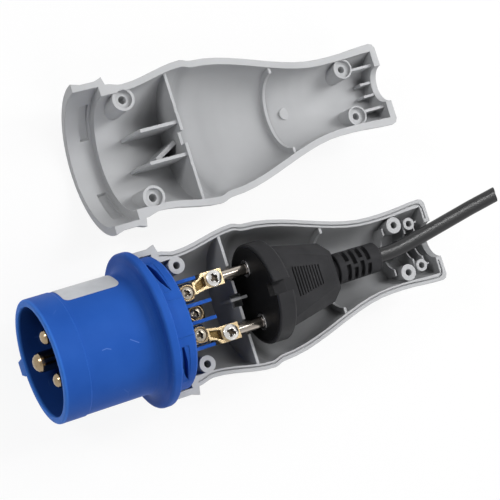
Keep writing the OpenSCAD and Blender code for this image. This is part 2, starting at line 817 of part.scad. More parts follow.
base_shell();
cover_shell();
connector_body();
contact_line();
contact_neutral();
contact_earth();
terminal_screw_line();
terminal_screw_neutral();
terminal_screw_earth();
link_line();
link_neutral();
clamp_screw_line();
clamp_screw_neutral();
plug_body();
plug_bridge();
plug_pin_line();
plug_pin_neutral();
cord();
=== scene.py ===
import bmesh
import bpy
import math
from mathutils import Matrix, Vector


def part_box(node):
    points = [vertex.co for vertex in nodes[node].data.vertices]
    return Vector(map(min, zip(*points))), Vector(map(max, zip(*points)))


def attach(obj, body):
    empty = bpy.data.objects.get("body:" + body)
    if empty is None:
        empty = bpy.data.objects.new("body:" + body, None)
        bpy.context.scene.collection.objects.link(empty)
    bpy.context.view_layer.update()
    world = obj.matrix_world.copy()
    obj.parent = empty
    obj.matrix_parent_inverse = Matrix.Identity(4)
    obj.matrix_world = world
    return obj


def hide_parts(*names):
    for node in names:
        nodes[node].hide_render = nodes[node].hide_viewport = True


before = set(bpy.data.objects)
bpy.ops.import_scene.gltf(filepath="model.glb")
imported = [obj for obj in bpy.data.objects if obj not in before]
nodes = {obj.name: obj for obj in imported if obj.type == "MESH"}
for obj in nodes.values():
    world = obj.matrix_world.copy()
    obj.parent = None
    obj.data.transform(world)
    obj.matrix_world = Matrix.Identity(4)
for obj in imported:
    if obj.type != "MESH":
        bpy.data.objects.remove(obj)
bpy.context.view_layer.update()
scene = bpy.context.scene
mm = 0.001
weldGap = 1e-7

# camera, fitted to the picture's own perspective
cameraSetup = {
    "lens": 116.6,
    "sensor": 36.0,
    "clip": (0.01, 20.0),
    "place": (-0.18056, -0.00134, 0.50867),
    "right": (0.874009, -0.301320, 0.381200),
    "down": (-0.263597, -0.953060, -0.148977),
    "forward": (0.408196, 0.029724, -0.912410),
}


def makeCamera(setup):
    data = bpy.data.cameras.new("viewCamera")
    data.lens = setup["lens"]
    data.sensor_width = setup["sensor"]
    data.clip_start, data.clip_end = setup["clip"]
    camera = bpy.data.objects.new("viewCamera", data)
    scene.collection.objects.link(camera)
    axes = (Vector(setup["right"]), -Vector(setup["down"]), -Vector(setup["forward"]))
    turn = Matrix([[axes[c][r] for c in range(3)] for r in range(3)]).to_4x4()
    camera.matrix_world = Matrix.Translation(setup["place"]) @ turn
    scene.camera = camera


makeCamera(cameraSetup)
print("camera set")


# small helpers for pieces
def newPiece(name, bm, material, sharpAngle=35.0):
    bmesh.ops.remove_doubles(bm, verts=bm.verts, dist=weldGap)
    bmesh.ops.recalc_face_normals(bm, faces=bm.faces)
    mesh = bpy.data.meshes.new(name)
    bm.to_mesh(mesh)
    bm.free()
    return finishMesh(name, mesh, material, sharpAngle)


def finishMesh(name, mesh, material, sharpAngle):
    mesh.polygons.foreach_set("use_smooth", [True] * len(mesh.polygons))
    mesh.set_sharp_from_angle(angle=math.radians(sharpAngle))
    if not mesh.materials:
        mesh.materials.append(material)
    piece = bpy.data.objects.new(name, mesh)
    scene.collection.objects.link(piece)
    return piece


def joinRings(bm, rings):
    faces = []
    for a, b in zip(rings, rings[1:]):
        for k in range(len(a)):
            n = (k + 1) % len(a)
            faces.append(bm.faces.new((a[k], a[n], b[n], b[k])))
    return faces


# small helpers for node trees
def mathNode(tree, operation, a, b=None, c=None, clamp=False):
    node = tree.nodes.new("ShaderNodeMath")
    node.operation = operation
    node.use_clamp = clamp
    for socket, value in zip(node.inputs, (a, b, c)):
        if value is None:
            continue
        if isinstance(value, (int, float)):
            socket.default_value = value
        else:
            tree.links.new(value, socket)
    return node.outputs[0]


def vectorNode(tree, operation, a, b=None, scale=None):
    node = tree.nodes.new("ShaderNodeVectorMath")
    node.operation = operation
    tree.links.new(a, node.inputs[0])
    if isinstance(b, tuple):
        node.inputs[1].default_value = b
    elif b is not None:
        tree.links.new(b, node.inputs[1])
    if scale is not None:
        tree.links.new(scale, node.inputs["Scale"])
    return node.outputs["Value" if operation in ("DOT_PRODUCT", "LENGTH") else "Vector"]


def splitNode(tree, vector):
    node = tree.nodes.new("ShaderNodeSeparateXYZ")
    tree.links.new(vector, node.inputs[0])
    return node.outputs


def reachNode(tree, a, b):
    squares = [mathNode(tree, "MULTIPLY", side, side) for side in (a, b)]
    return mathNode(tree, "SQRT", mathNode(tree, "ADD", *squares))


def noiseNode(tree, vector, scale, detail, rough):
    node = tree.nodes.new("ShaderNodeTexNoise")
    node.inputs["Detail"].default_value = detail
    node.inputs["Roughness"].default_value = rough
    tree.links.new(vector, node.inputs["Vector"])
    if isinstance(scale, (int, float)):
        node.inputs["Scale"].default_value = scale
    else:
        tree.links.new(scale, node.inputs["Scale"])
    return node.outputs["Fac"]


def rangeNode(tree, value, low, high, toLow=0.0, toHigh=1.0):
    node = tree.nodes.new("ShaderNodeMapRange")
    ends = (("From Min", low), ("From Max", high), ("To Min", toLow), ("To Max", toHigh))
    for label, number in ends:
        if isinstance(number, (int, float)):
            node.inputs[label].default_value = number
        else:
            tree.links.new(number, node.inputs[label])
    tree.links.new(value, node.inputs["Value"])
    return node.outputs["Result"]


def bevelNodes(tree, radius, samples):
    bevel = tree.nodes.new("ShaderNodeBevel")
    bevel.samples = samples
    tree.links.new(radius, bevel.inputs["Radius"])
    flat = tree.nodes.new("ShaderNodeNewGeometry")
    likeness = vectorNode(tree, "DOT_PRODUCT", bevel.outputs["Normal"], flat.outputs["Normal"])
    return bevel.outputs["Normal"], likeness


# shader groups: the first input is what a group reads, numbers are its settings
def newGroup(name, inputs, outputs):
    tree = bpy.data.node_groups.new(name, "ShaderNodeTree")
    for label, value in inputs.items():
        kind = "NodeSocketFloat" if isinstance(value, float) else "NodeSocketVector"
        socket = tree.interface.new_socket(label, in_out="INPUT", socket_type=kind)
        if value is not None:
            socket.default_value = value
    for label in outputs:
        kind = "NodeSocketVector" if label == "Normal" else "NodeSocketFloat"
        tree.interface.new_socket(label, in_out="OUTPUT", socket_type=kind)
    given = tree.nodes.new("NodeGroupInput").outputs
    return tree, given, tree.nodes.new("NodeGroupOutput").inputs


# fine grain over soft clouds, as on moulded plastic
grainShape = {
    "fineNoise": {"detail": 2.0, "rough": 0.6},
    "cloudNoise": {"detail": 4.0, "rough": 0.55},
    "fineShare": 0.35,
    "cloudShare": 0.65,
    "span": (0.3, 0.7),
}


def makeMouldGrain(shape):
    tree, given, out = newGroup("mouldGrain",
        {"Vector": None, "Grain Scale": 2400.0, "Cloud Scale": 60.0, "Rough Low": 0.4, "Rough High": 0.55},
        ("Cloud", "Rough", "Height"))
    grain = noiseNode(tree, given["Vector"], given["Grain Scale"], **shape["fineNoise"])
    cloud = noiseNode(tree, given["Vector"], given["Cloud Scale"], **shape["cloudNoise"])
    clouded = mathNode(tree, "MULTIPLY", cloud, shape["cloudShare"])
    mixed = mathNode(tree, "MULTIPLY_ADD", grain, shape["fineShare"], clouded)
    rough = rangeNode(tree, mixed, *shape["span"], given["Rough Low"], given["Rough High"])
    tree.links.new(rangeNode(tree, cloud, *shape["span"]), out["Cloud"])
    tree.links.new(rough, out["Rough"])
    tree.links.new(grain, out["Height"])
    return tree


# faint broken lines in patches
scuffShape = {
    "stretch": (1.0, 0.32, 0.32),
    "lineWidth": 0.012,
    "patchNoise": {"detail": 2.0, "rough": 0.5},
    "fade": 0.06,
}


def makeScuffs(shape):
    tree, given, out = newGroup("scuffs",
        {"Vector": None, "Line Scale": 90.0, "Patch Scale": 70.0, "Cover": 0.58}, ("Mask",))
    cells = tree.nodes.new("ShaderNodeTexVoronoi")
    cells.feature = "DISTANCE_TO_EDGE"
    tree.links.new(vectorNode(tree, "MULTIPLY", given["Vector"], shape["stretch"]), cells.inputs["Vector"])
    tree.links.new(given["Line Scale"], cells.inputs["Scale"])
    line = rangeNode(tree, cells.outputs["Distance"], 0.0, shape["lineWidth"], 1.0, 0.0)
    patch = noiseNode(tree, given["Vector"], given["Patch Scale"], **shape["patchNoise"])
    full = mathNode(tree, "ADD", given["Cover"], shape["fade"])
    island = rangeNode(tree, patch, given["Cover"], full)
    tree.links.new(mathNode(tree, "MULTIPLY", line, island, clamp=True), out["Mask"])
    return tree


# one scratch from start to end, full over its core and fading to its width
scratchShape = {
    "core": 0.3,
}


def makeScratchMark(shape):
    tree, given, out = newGroup("scratchMark",
        {"Vector": None, "Start": (0.0, 0.0, 0.0), "End": (0.01, 0.0, 0.0), "Width": 0.0002}, ("Mask",))
    reach = vectorNode(tree, "SUBTRACT", given["Vector"], given["Start"])
    span = vectorNode(tree, "SUBTRACT", given["End"], given["Start"])
    along = mathNode(tree, "DIVIDE", vectorNode(tree, "DOT_PRODUCT", reach, span),
        vectorNode(tree, "DOT_PRODUCT", span, span), clamp=True)
    foot = vectorNode(tree, "SCALE", span, scale=along)
    gap = vectorNode(tree, "LENGTH", vectorNode(tree, "SUBTRACT", reach, foot))
    near = mathNode(tree, "MULTIPLY", given["Width"], shape["core"])
    tree.links.new(rangeNode(tree, gap, near, given["Width"], 1.0, 0.0), out["Mask"])
    return tree


# edges: a mask where the surface turns, and a softened normal
edgeShape = {
    "samples": 6,
    "turn": (0.02, 0.25),
    "breakNoise": {"detail": 3.0, "rough": 0.6},
    "breakSpan": (0.25, 0.7),
    "breakShare": (0.35, 1.0),
}


def makeEdgeLift(shape):
    tree, given, out = newGroup("edgeLift", {"Vector": None, "Radius": 0.0003, "Break Up": 300.0},
        ("Edge", "Normal"))
    normal, likeness = bevelNodes(tree, given["Radius"], shape["samples"])
    turned = mathNode(tree, "SUBTRACT", 1.0, likeness)
    broken = noiseNode(tree, given["Vector"], given["Break Up"], **shape["breakNoise"])
    edge = mathNode(tree, "MULTIPLY", rangeNode(tree, turned, *shape["turn"]),
        rangeNode(tree, broken, *shape["breakSpan"], *shape["breakShare"]))
    tree.links.new(edge, out["Edge"])
    tree.links.new(normal, out["Normal"])
    return tree


# walls: evens out the normal where the wall bends slowly, keeps it at edges
flowShape = {
    "samples": 8,
    "reach": 0.003,
    "keepBelow": 0.992,
    "fullAbove": 0.997,
}


def makeWallFlow(shape):
    tree, given, out = newGroup("wallFlow", {"Normal": None, "Reach": shape["reach"],
        "Keep Below": shape["keepBelow"], "Full Above": shape["fullAbove"]}, ("Normal",))
    wide, likeness = bevelNodes(tree, given["Reach"], shape["samples"])
    blend = tree.nodes.new("ShaderNodeMix")
    blend.data_type = "VECTOR"
    share = rangeNode(tree, likeness, given["Keep Below"], given["Full Above"])
    for index, value in ((0, share), (4, given["Normal"]), (5, wide)):  # factor, A and B of a vector mix
        tree.links.new(value, blend.inputs[index])
    tree.links.new(vectorNode(tree, "NORMALIZE", blend.outputs[1]), out["Normal"])
    return tree


# turning lines and stains on metal
turnedShape = {
    "distortion": 1.2,
    "detail": 2.0,
    "stainNoise": {"detail": 4.0, "rough": 0.6},
    "stainSpan": (0.35, 0.7),
}


def makeTurnedLines(shape):
    tree, given, out = newGroup("turnedLines", {"Vector": None, "Line Scale": 1500.0, "Stain Scale": 160.0},
        ("Lines", "Stain"))
    wave = tree.nodes.new("ShaderNodeTexWave")
    wave.wave_type = "BANDS"
    wave.bands_direction = "X"
    wave.inputs["Distortion"].default_value = shape["distortion"]
    wave.inputs["Detail"].default_value = shape["detail"]
    tree.links.new(given["Vector"], wave.inputs["Vector"])
    tree.links.new(given["Line Scale"], wave.inputs["Scale"])
    stain = noiseNode(tree, given["Vector"], given["Stain Scale"], **shape["stainNoise"])
    tree.links.new(wave.outputs["Fac"], out["Lines"])
    tree.links.new(rangeNode(tree, stain, *shape["stainSpan"]), out["Stain"])
    return tree


mouldGrain = makeMouldGrain(grainShape)
scuffs = makeScuffs(scuffShape)
scratchMark = makeScratchMark(scratchShape)
edgeLift = makeEdgeLift(edgeShape)
wallFlow = makeWallFlow(flowShape)
turnedLines = makeTurnedLines(turnedShape)
print("shader groups built")


# steps that the finishes share
def newMaterial(name):
    material = bpy.data.materials.new(name)
    material.use_nodes = True
    tree = material.node_tree
    shader = tree.nodes["Principled BSDF"]
    coords = tree.nodes.new("ShaderNodeTexCoord")
    return material, tree, shader, coords.outputs["Object"]


def placeGroup(tree, group, reads, **values):
    node = tree.nodes.new("ShaderNodeGroup")
    node.node_tree = group
    tree.links.new(reads, node.inputs[0])
    for label, value in values.items():
        node.inputs[label.replace("_", " ")].default_value = value
    return node.outputs


def mixColour(tree, fac, a, b):
    node = tree.nodes.new("ShaderNodeMix")
    node.data_type = "RGBA"
    for index, value in ((0, fac), (6, a), (7, b)):  # factor, A and B of a colour mix
        if isinstance(value, tuple):
            node.inputs[index].default_value = (*value, 1.0)
        else:
            tree.links.new(value, node.inputs[index])
    return node.outputs[2]


def addBump(tree, shader, height, distance, strength, normal=None):
    node = tree.nodes.new("ShaderNodeBump")
    node.inputs["Strength"].default_value = strength
    node.inputs["Distance"].default_value = distance
    tree.links.new(height, node.inputs["Height"])
    if normal is not None:
        tree.links.new(normal, node.inputs["Normal"])
    tree.links.new(node.outputs["Normal"], shader.inputs["Normal"])


def startPlastic(name, finish):
    material, tree, shader, coords = newMaterial(name)
    low, high = finish["rough"]
    grain = placeGroup(tree, mouldGrain, coords, Grain_Scale=finish["grainScale"],
        Cloud_Scale=finish["cloudScale"], Rough_Low=low, Rough_High=high)
    tree.links.new(grain["Rough"], shader.inputs["Roughness"])
    shader.inputs["Specular IOR Level"].default_value = finish["specular"]
    body = mixColour(tree, grain["Cloud"], finish["body"], finish["shade"])
    return material, tree, shader, coords, grain["Height"], body


# paler colour where the surface turns: partly wear, partly a painted edge highlight
def wornAndHighlitEdge(tree, coords, finish, body):
    edge = placeGroup(tree, edgeLift, coords, Radius=finish["edgeRadius"], Break_Up=finish["breakUp"])
    wearAndHighlight = mathNode(tree, "MULTIPLY", edge["Edge"], finish["edgeAmount"])
    return mixColour(tree, wearAndHighlight, body, finish["edge"]), edge["Normal"]


# grey moulded housing halves of one plastic; painted shade makes the base darker than the cover, and
# painted light makes it paler on its parting face
housingSurface = {
    "edgeAmount": 0.5, "edgeRadius": 0.00035, "breakUp": 240.0,
    "grainScale": 3200.0, "grainDepth": 0.00002, "grainStrength": 0.5,
    "cloudScale": 45.0, "rough": (0.46, 0.6), "specular": 0.2,
}
housingFinishes = {
    # painted shade: the base's tones are darker copies of the cover's, and its parting face gets a paler
    # painted light tone
    "baseGrey": {**housingSurface, "body": (0.33, 0.334, 0.343), "shade": (0.303, 0.307, 0.315),
        "edge": (0.56, 0.565, 0.58), "rim": (-0.0009, -0.0004, (0.415, 0.42, 0.43))},
    "coverGrey": {**housingSurface, "body": (0.462, 0.468, 0.478), "shade": (0.431, 0.436, 0.446),
        "edge": (0.60, 0.605, 0.615)},
}


def makeHousingMaterial(name, finish):
    material, tree, shader, coords, height, body = startPlastic(name, finish)
    # painted light: a paler tone near z = 0 on the parting face
    if "rim" in finish:
        low, high, tone = finish["rim"]
        body = mixColour(tree, rangeNode(tree, splitNode(tree, coords)["Z"], low, high), body, tone)
    body, normal = wornAndHighlitEdge(tree, coords, finish, body)
    tree.links.new(body, shader.inputs["Base Color"])
    flow = placeGroup(tree, wallFlow, normal)
    addBump(tree, shader, height, finish["grainDepth"], finish["grainStrength"], flow["Normal"])
    return material


# blue plug front: painted light makes it paler round its mouth, painted shade makes it darker in its well
blueFinish = {
    "body": (0.021, 0.096, 0.41),
    "shade": (0.016, 0.080, 0.366),
    "cloudScale": 70.0,
    "rough": (0.45, 0.6),
    "specular": 0.08,
    "grainScale": 1800.0,
    "grainDepth": 0.000015,
    "grainStrength": 0.5,
    "edge": (0.06, 0.21, 0.64),
    "edgeAmount": 0.7,
    "edgeRadius": 0.0004,
    "breakUp": 200.0,
    "wellRadius": (0.0188, 0.0192),
    "wellEnd": 0.0,
    "wellPaintedShade": (0.010, 0.046, 0.215),
    "mouth": (-0.0355, -0.0348),
    "mouthPaintedLight": (0.045, 0.185, 0.66),
    "scuff": (0.16, 0.29, 0.66),
    "scuffAmount": 0.5,
    "scuffShare": 0.4,
    "scuffLines": 120.0,
    "scuffPatches": 85.0,
    "scuffCover": 0.6,
    "scratches": [
        ((-0.02122, -0.00229, 0.02067), (-0.01980, -0.00216, 0.02069)),
        ((-0.01980, -0.00216, 0.02069), (-0.01841, -0.00277, 0.02061)),
        ((-0.01129, -0.00171, 0.02073), (-0.00880, -0.00343, 0.02051)),
    ],
    "scratchWidth": 0.0002,
}


def makeBlueMaterial(name, finish):
    material, tree, shader, coords, height, body = startPlastic(name, finish)
    body, normal = wornAndHighlitEdge(tree, coords, finish, body)
    # painted shade: darker tone inside the shroud's well
    axis = splitNode(tree, coords)
    within = rangeNode(tree, reachNode(tree, axis["Y"], axis["Z"]), *finish["wellRadius"], 1.0, 0.0)
    ahead = mathNode(tree, "LESS_THAN", axis["X"], finish["wellEnd"])
    body = mixColour(tree, mathNode(tree, "MULTIPLY", within, ahead), body, finish["wellPaintedShade"])
    # painted light: paler tone on the front of the shroud's mouth
    mouth = rangeNode(tree, axis["X"], *finish["mouth"], 1.0, 0.0)
    body = mixColour(tree, mouth, body, finish["mouthPaintedLight"])
    mark = placeGroup(tree, scuffs, coords, Line_Scale=finish["scuffLines"],
        Patch_Scale=finish["scuffPatches"], Cover=finish["scuffCover"])
    marks = mathNode(tree, "MULTIPLY", mark["Mask"], finish["scuffShare"])
    for start, end in finish["scratches"]:
        line = placeGroup(tree, scratchMark, coords, Start=start, End=end, Width=finish["scratchWidth"])
        marks = mathNode(tree, "MAXIMUM", marks, line["Mask"])
    marked = mathNode(tree, "MULTIPLY", marks, finish["scuffAmount"])
    tree.links.new(mixColour(tree, marked, body, finish["scuff"]), shader.inputs["Base Color"])
    addBump(tree, shader, height, finish["grainDepth"], finish["grainStrength"], normal)
    return material


# black plug mouldings: grained body and smooth face
blackSurface = {
    "edgeAmount": 0.5, "edgeRadius": 0.0004, "breakUp": 300.0, "cloudScale": 120.0, "grainStrength": 0.6,
}
blackFinishes = {
    "plugBody": {**blackSurface, "body": (0.025, 0.025, 0.027), "shade": (0.0185, 0.0185, 0.020),
        "edge": (0.052, 0.052, 0.054), "rough": (0.5, 0.66), "specular": 0.18,
        "grainScale": 2600.0, "grainDepth": 0.00003},
    "plugFace": {**blackSurface, "body": (0.010, 0.010, 0.0105), "shade": (0.007, 0.007, 0.0075),
        "edge": (0.022, 0.022, 0.023), "rough": (0.45, 0.55), "specular": 0.1,
        "grainScale": 2000.0, "grainDepth": 0.00001},
}


def makeBlackMaterial(name, finish):
    material, tree, shader, coords, height, body = startPlastic(name, finish)
    body, normal = wornAndHighlitEdge(tree, coords, finish, body)
    tree.links.new(body, shader.inputs["Base Color"])
    addBump(tree, shader, height, finish["grainDepth"], finish["grainStrength"], normal)
    return material


# metals: brass contacts and links, nickelled pins and screws, copper cord ends
metalSurface = {
    "stainScale": 220.0, "stainAmount": 0.55, "edgeRadius": 0.0002, "breakUp": 400.0, "edgeAmount": 0.6,
    "lineStrength": 0.35,
}
metalFinishes = {
    "contactBrass": {**metalSurface, "body": (0.36, 0.28, 0.18), "stain": (0.20, 0.135, 0.07),
        "edge": (0.70, 0.61, 0.46), "rough": (0.14, 0.26), "lines": 900.0, "depth": 0.0000002},
    "linkBrass": {**metalSurface, "body": (0.76, 0.61, 0.38), "stain": (0.42, 0.28, 0.12),
        "edge": (1.0, 0.94, 0.80), "rough": (0.22, 0.34), "lines": 300.0, "depth": 0.0000002,
        "hollow": (0.0047, 0.0056, (0.15, 0.10, 0.04))},
    "pinNickel": {**metalSurface, "body": (0.50, 0.45, 0.40), "stain": (0.38, 0.33, 0.29),
        "edge": (0.6, 0.58, 0.56), "rough": (0.12, 0.2), "lines": 1100.0, "depth": 0.0000002,
        "foot": (0.0430, (0.62, 0.62, 0.63))},
    "clampNickel": {**metalSurface, "body": (0.95, 0.94, 0.92), "stain": (0.72, 0.69, 0.65),
        "edge": (1.0, 1.0, 0.99), "rough": (0.2, 0.3), "lines": 700.0, "depth": 0.0000004},
    "terminalNickel": {**metalSurface, "body": (0.60, 0.55, 0.47), "stain": (0.30, 0.24, 0.17),
        "edge": (0.95, 0.90, 0.80), "rough": (0.2, 0.34), "lines": 700.0, "depth": 0.0000004},
    "recessShade": {**metalSurface, "body": (0.11, 0.09, 0.07), "stain": (0.05, 0.04, 0.03),
        "edge": (0.2, 0.18, 0.15), "rough": (0.4, 0.55), "lines": 700.0, "depth": 0.000006},
    "cordCopper": {**metalSurface, "body": (0.80, 0.38, 0.20), "stain": (0.55, 0.25, 0.12),
        "edge": (0.9, 0.5, 0.3), "rough": (0.25, 0.4), "lines": 400.0, "depth": 0.000006},
}


def makeMetalMaterial(name, finish):
    material, tree, shader, coords = newMaterial(name)
    lines = placeGroup(tree, turnedLines, coords, Line_Scale=finish["lines"],
        Stain_Scale=finish["stainScale"])
    stained = mathNode(tree, "MULTIPLY", lines["Stain"], finish["stainAmount"])
    colour = mixColour(tree, stained, finish["body"], finish["stain"])
    if "foot" in finish:
        start, tone = finish["foot"]
        foot = mathNode(tree, "GREATER_THAN", splitNode(tree, coords)["X"], start)
        colour = mixColour(tree, foot, colour, tone)
    # painted shade: the links' channel below their top is darker
    if "hollow" in finish:
        low, high, tone = finish["hollow"]
        hollow = rangeNode(tree, splitNode(tree, coords)["Z"], low, high, 1.0, 0.0)
        colour = mixColour(tree, hollow, colour, tone)
    colour, normal = wornAndHighlitEdge(tree, coords, finish, colour)
    tree.links.new(colour, shader.inputs["Base Color"])
    rough = rangeNode(tree, lines["Stain"], 0.0, 1.0, *finish["rough"])
    tree.links.new(rough, shader.inputs["Roughness"])
    shader.inputs["Metallic"].default_value = 1.0
    addBump(tree, shader, lines["Lines"], finish["depth"], finish["lineStrength"], normal)
    return material


finishes = {"blueFront": makeBlueMaterial("blueFront", blueFinish)}
for makeMaterial, group in ((makeHousingMaterial, housingFinishes), (makeBlackMaterial, blackFinishes),
        (makeMetalMaterial, metalFinishes)):
    for label, finish in group.items():
        finishes[label] = makeMaterial(label, finish)

nodeFinish = {
    "base_shell": "baseGrey", "cover_shell": "coverGrey", "connector_body": "blueFront",
    "contact_line": "contactBrass", "contact_neutral": "contactBrass", "contact_earth": "contactBrass",
    "link_line": "linkBrass", "link_neutral": "linkBrass", "plug_body": "plugBody",
    "plug_bridge": "plugFace", "plug_pin_line": "pinNickel", "plug_pin_neutral": "pinNickel",
    "terminal_screw_line": "terminalNickel", "terminal_screw_neutral": "terminalNickel",
    "terminal_screw_earth": "terminalNickel", "clamp_screw_line": "clampNickel",
    "clamp_screw_neutral": "clampNickel", "cord": "plugBody",
}
for node, label in nodeFinish.items():
    for slot in nodes[node].material_slots:
        slot.material = finishes[label]
print("finishes on", len(nodeFinish), "nodes")


# flat twin cord, an oval sheath over two cores, sizes in millimetres
cordSetup = {
    "route": [(92.8, 0, 0), (98, 0, 0), (101, 0.2, 0), (104, 0.6, 0), (107, 1.1, 0.1), (110, 1.7, 0.3),
        (113, 2.3, 0.5), (116, 2.9, 0.7), (119, 3.5, 0.9), (123, 4.3, 1.1), (127, 5.1, 1.3),
        (131, 5.9, 1.5), (135, 6.7, 1.7), (139, 7.4, 1.9), (143, 8.1, 2.1), (147, 8.8, 2.2)],
    "stepsPerSpan": 4,
    "width": 5.4,
    "height": 3.0,
    "fullness": 2.3,
    "sides": 32,
    "sharpAngle": 40.0,
    "cutShift": -0.78,
    "cutSlant": 0.38,
    "coreOffset": 1.2,
    "wireRadius": 0.62,
    "wireRings": [(-0.2, 1.0), (0.12, 1.0), (0.2, 0.7)],  # depth, share of the radius
    "wireSides": 14,
    "sheath": {"body": (0.008, 0.008, 0.009), "shade": (0.0056, 0.0056, 0.0063), "rough": (0.3, 0.32),
        "specular": 0.66, "cloudScale": 90.0, "grainScale": 1500.0, "grainDepth": 0.0000002,
        "grainStrength": 0.3},
}


def makeSheathMaterial(finish):
    material, tree, shader, coords, height, body = startPlastic("cordSheath", finish)
    tree.links.new(body, shader.inputs["Base Color"])
    addBump(tree, shader, height, finish["grainDepth"], finish["grainStrength"])
    return material


def smoothRoute(points, steps):
    smooth = []
    for i in range(len(points) - 1):
        a, b = points[max(i - 1, 0)], points[i]
        c, d = points[i + 1], points[min(i + 2, len(points) - 1)]
        for k in range(steps):
            t = k / steps
            smooth.append(0.5 * (2 * b + (c - a) * t + (2 * a - 5 * b + 4 * c - d) * t * t
                + (3 * b - a - 3 * c + d) * t ** 3))
    return smooth + [points[-1]]


def routeAxes(points, i):
    heading = (points[min(i + 1, len(points) - 1)] - points[max(i - 1, 0)]).normalized()
    side = Vector((-heading.y, heading.x, 0)).normalized()
    return heading, side, heading.cross(side)


def cordProfile(setup):
    points = []
    for k in range(setup["sides"]):
        angle = 2 * math.pi * k / setup["sides"]
        x, z = (math.copysign(abs(share) ** (2 / setup["fullness"]), share)
            for share in (math.cos(angle), math.sin(angle)))
        points.append((x * setup["width"] / 2, z * setup["height"] / 2))
    return points


def addSheath(bm, setup, smooth):
    profile = cordProfile(setup)
    rings = []
    for i, centre in enumerate(smooth):
        heading, side, up = routeAxes(smooth, i)
        cut = heading * mm if i == len(smooth) - 1 else Vector()
        rings.append([bm.verts.new(centre + side * (x * mm) + up * (z * mm)
            + cut * (setup["cutShift"] + setup["cutSlant"] * x)) for x, z in profile])
    joinRings(bm, rings)
    for ring in (rings[0], rings[-1]):
        bm.faces.new(ring)


# bare copper ends, a little proud of the cut
def addWires(bm, setup, smooth):
    heading, side, up = routeAxes(smooth, len(smooth) - 1)
    turns = [2 * math.pi * k / setup["wireSides"] for k in range(setup["wireSides"])]
    faces = []
    for offset in (setup["coreOffset"], -setup["coreOffset"]):
        slip = setup["cutShift"] + setup["cutSlant"] * offset
        centre = smooth[-1] + side * (offset * mm) + heading * (slip * mm)
        rings = []
        for depth, share in setup["wireRings"]:
            r = setup["wireRadius"] * share * mm
            rings.append([bm.verts.new(centre + heading * (depth * mm) + side * (r * math.cos(turn))
                + up * (r * math.sin(turn))) for turn in turns])
        faces += joinRings(bm, rings)
        faces.append(bm.faces.new(rings[-1]))
        faces.append(bm.faces.new(rings[0][::-1]))
    for face in faces:
        face.material_index = 1


def makeCord(setup):
    smooth = smoothRoute([Vector(point) * mm for point in setup["route"]], setup["stepsPerSpan"])
    bm = bmesh.new()
    addSheath(bm, setup, smooth)
    addWires(bm, setup, smooth)
    piece = newPiece("cordFlex", bm, makeSheathMaterial(setup["sheath"]), setup["sharpAngle"])
    piece.data.materials.append(finishes["cordCopper"])
    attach(piece, "housing")
    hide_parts("cord")


makeCord(cordSetup)


# screws: one node tree, five placings, sizes in millimetres and turns in degrees
screwSetup = {
    "kinds": {
        "clamp": {"Head Radius": 2.75, "Head Height": 2.0, "Dome": 0.75, "Thread Radius": 1.9,
            "Pitch": 0.7, "Thread Depth": 0.3, "Recess Length": 3.4, "Recess Width": 0.95,
            "Recess Depth": 1.1, "Recess Mouth": 1.3},
        "terminal": {"Head Radius": 2.05, "Head Height": 1.3, "Dome": 0.35, "Thread Radius": 1.5,
            "Pitch": 0.5, "Thread Depth": 0.22, "Recess Length": 2.9, "Recess Width": 0.8,
            "Recess Depth": 0.85, "Recess Mouth": 0.95},
    },
    "finishes": {"clamp": "clampNickel", "terminal": "terminalNickel"},
    "placings": [
        ("clamp_screw_line", "clamp", 24.0), ("clamp_screw_neutral", "clamp", 62.0),
        ("terminal_screw_line", "terminal", 35.0), ("terminal_screw_neutral", "terminal", 8.0),
        ("terminal_screw_earth", "terminal", 20.0),
    ],
    "sharpAngle": 32.0,
    "headSides": 56,
    "headRings": 3,
    "topRings": 9,
    "topShare": 0.9,
    "domePower": 2.4,
    "shankSides": 24,
    "shankRings": 48,
    "overlap": 0.2,
    "coneSides": 24,
    "coneFoot": 0.45,  # these six are shares of the recess's own sizes
    "coneHeight": 1.25,
    "coneSink": 1.1,
    "darkTop": 0.3,
    "darkFloor": 1.15,
    "darkReach": 0.55,
}


def newTree(name, sizes, finishNames):
    tree = bpy.data.node_groups.new(name, "GeometryNodeTree")
    for label, value in sizes.items():
        socket = tree.interface.new_socket(label, in_out="INPUT", socket_type="NodeSocketFloat")
        socket.default_value = value
    for label in finishNames:
        tree.interface.new_socket(label, in_out="INPUT", socket_type="NodeSocketMaterial")
    tree.interface.new_socket("Geometry", in_out="OUTPUT", socket_type="NodeSocketGeometry")
    return tree, tree.nodes.new("NodeGroupInput").outputs, tree.nodes.new("NodeGroupOutput").inputs


def treeTools(tree):
    def add(kind, **values):
        node = tree.nodes.new(kind)
        for label, value in values.items():
            socket = node.inputs[label.replace("_", " ")]
            if isinstance(value, (int, float, tuple)):
                socket.default_value = value
            else:
                tree.links.new(value, socket)
        return node

    def joined(x=0.0, y=0.0, z=0.0):
        return add("ShaderNodeCombineXYZ", X=x, Y=y, Z=z).outputs[0]

    def moved(geometry, field):
        return add("GeometryNodeSetPosition", Geometry=geometry, Offset=field).outputs[0]

    return add, joined, moved


